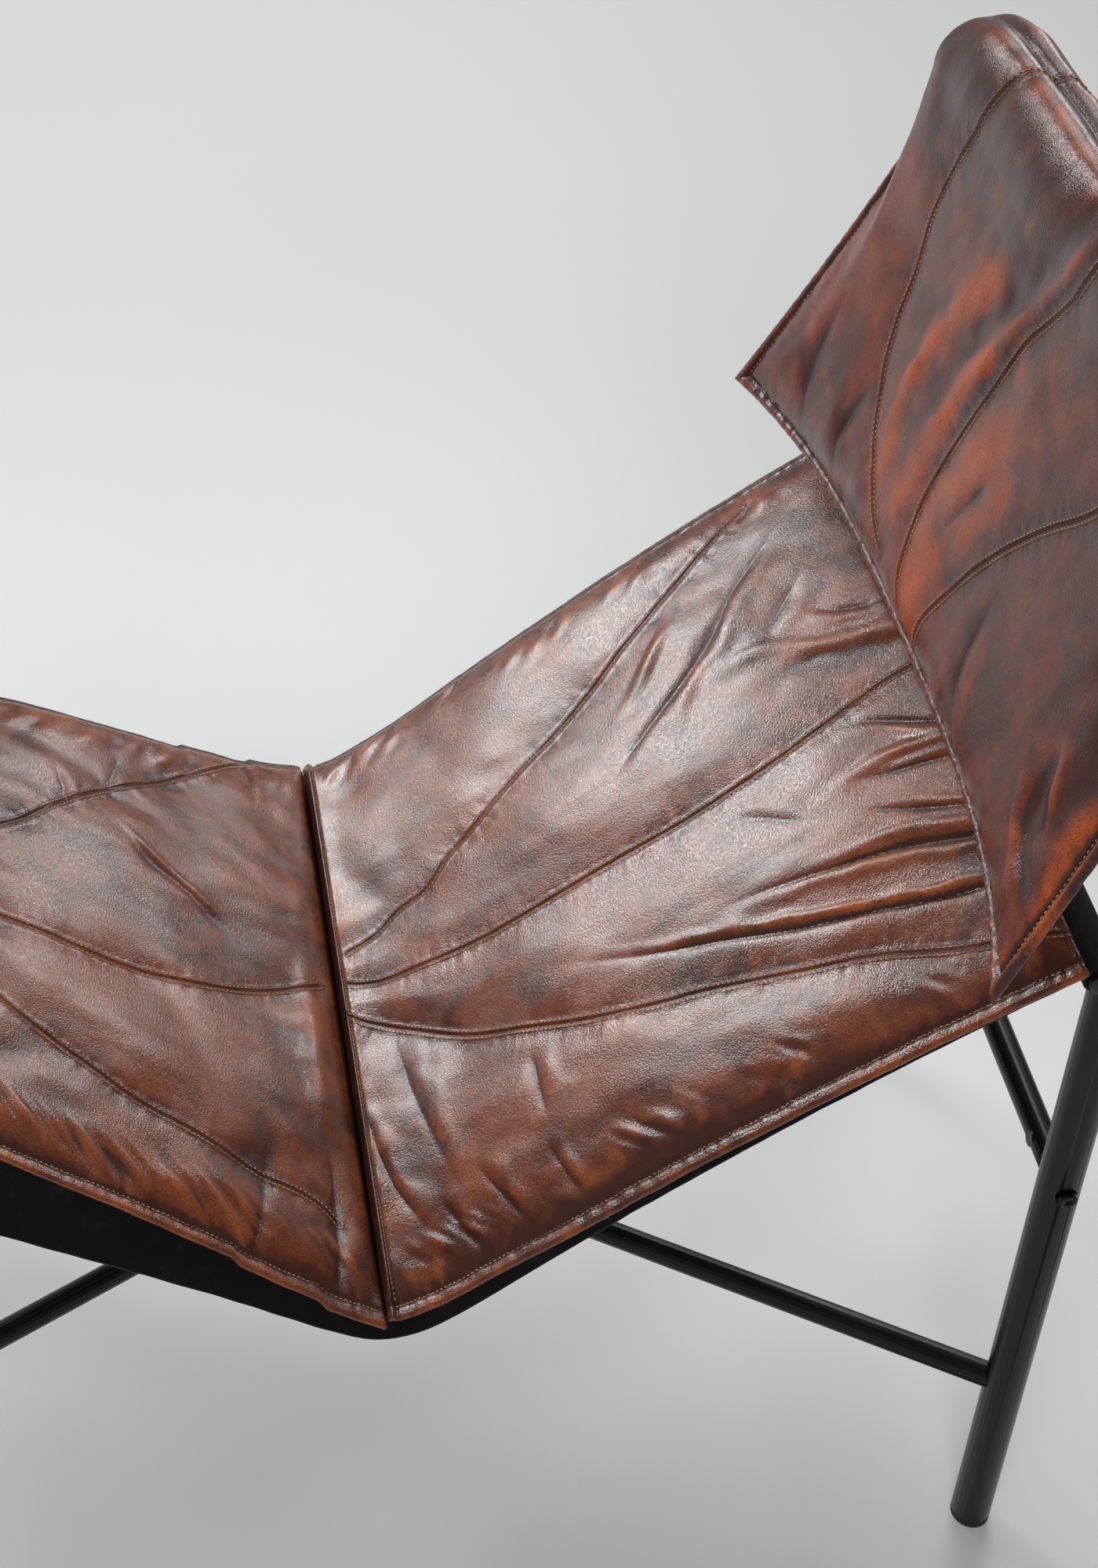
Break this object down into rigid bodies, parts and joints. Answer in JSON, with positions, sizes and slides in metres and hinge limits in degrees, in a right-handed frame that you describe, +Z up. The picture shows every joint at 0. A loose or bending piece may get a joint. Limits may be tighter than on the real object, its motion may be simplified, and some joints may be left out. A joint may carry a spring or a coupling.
{
  "type": "leather sling lounge chair",
  "caption": "Lounge chair with a leaning tube frame, a canvas sling, quilted leather seat and back pads, and a loose leather head cushion that lifts off its bar.",
  "frame": {"origin": "on the floor, in the middle of the four feet", "axes": "+Z up, +X towards the head end, +Y towards the sitter's right"},
  "size_m": [0.97, 0.646, 1.062],
  "materials": {
    "powder_coat": "satin black powder coat",
    "black_zinc": "blackened zinc",
    "black_plastic": "moulded, matt",
    "black_canvas": "plain-woven canvas, matt",
    "pad_leather": "waxed dark brown hide worn to rust on ridges and edges, glossy",
    "head_leather": "waxed grey-brown hide worn to orange on folds, glossy"
  },
  "bodies": {
    "frame": {"back_pad": "pad_leather", "brace_half_front": "powder_coat", "brace_half_rear": "powder_coat", "brace_through": "powder_coat", "foot_bar": "powder_coat", "foot_bar_insert_left": "black_zinc", "foot_bar_insert_right": "black_zinc", "foot_bar_plug_left": "black_plastic", "foot_bar_plug_right": "black_plastic", "foot_bar_screw_left": "black_zinc", "foot_bar_screw_right": "black_zinc", "front_glide_left": "black_plastic", "front_glide_right": "black_plastic", "front_leg_cap_left": "black_plastic", "front_leg_cap_right": "black_plastic", "front_leg_left": "powder_coat", "front_leg_right": "powder_coat", "head_bar": "powder_coat", "rear_glide_left": "black_plastic", "rear_glide_right": "black_plastic", "rear_leg_cap_left": "black_plastic", "rear_leg_cap_right": "black_plastic", "rear_leg_left": "powder_coat", "rear_leg_right": "powder_coat", "rear_rail": "powder_coat", "rear_rail_barrel_nut_left": "black_zinc", "rear_rail_barrel_nut_right": "black_zinc", "rear_rail_screw_left": "black_zinc", "rear_rail_screw_right": "black_zinc", "seat_pad": "pad_leather", "sling_bar": "powder_coat", "sling_bar_insert_left": "black_zinc", "sling_bar_insert_right": "black_zinc", "sling_bar_plug_left": "black_plastic", "sling_bar_plug_right": "black_plastic", "sling_bar_screw_left": "black_zinc", "sling_bar_screw_right": "black_zinc", "sling_canvas": "black_canvas"},
    "head_cushion": {"head_cushion": "head_leather"}
  },
  "joints": [
    {"name": "head_cushion_lift", "type": "slide", "parent": "frame", "child": "head_cushion", "axis": [-0.0649, 0, 0.9979], "range_m": [0, 0.15]}
  ]
}
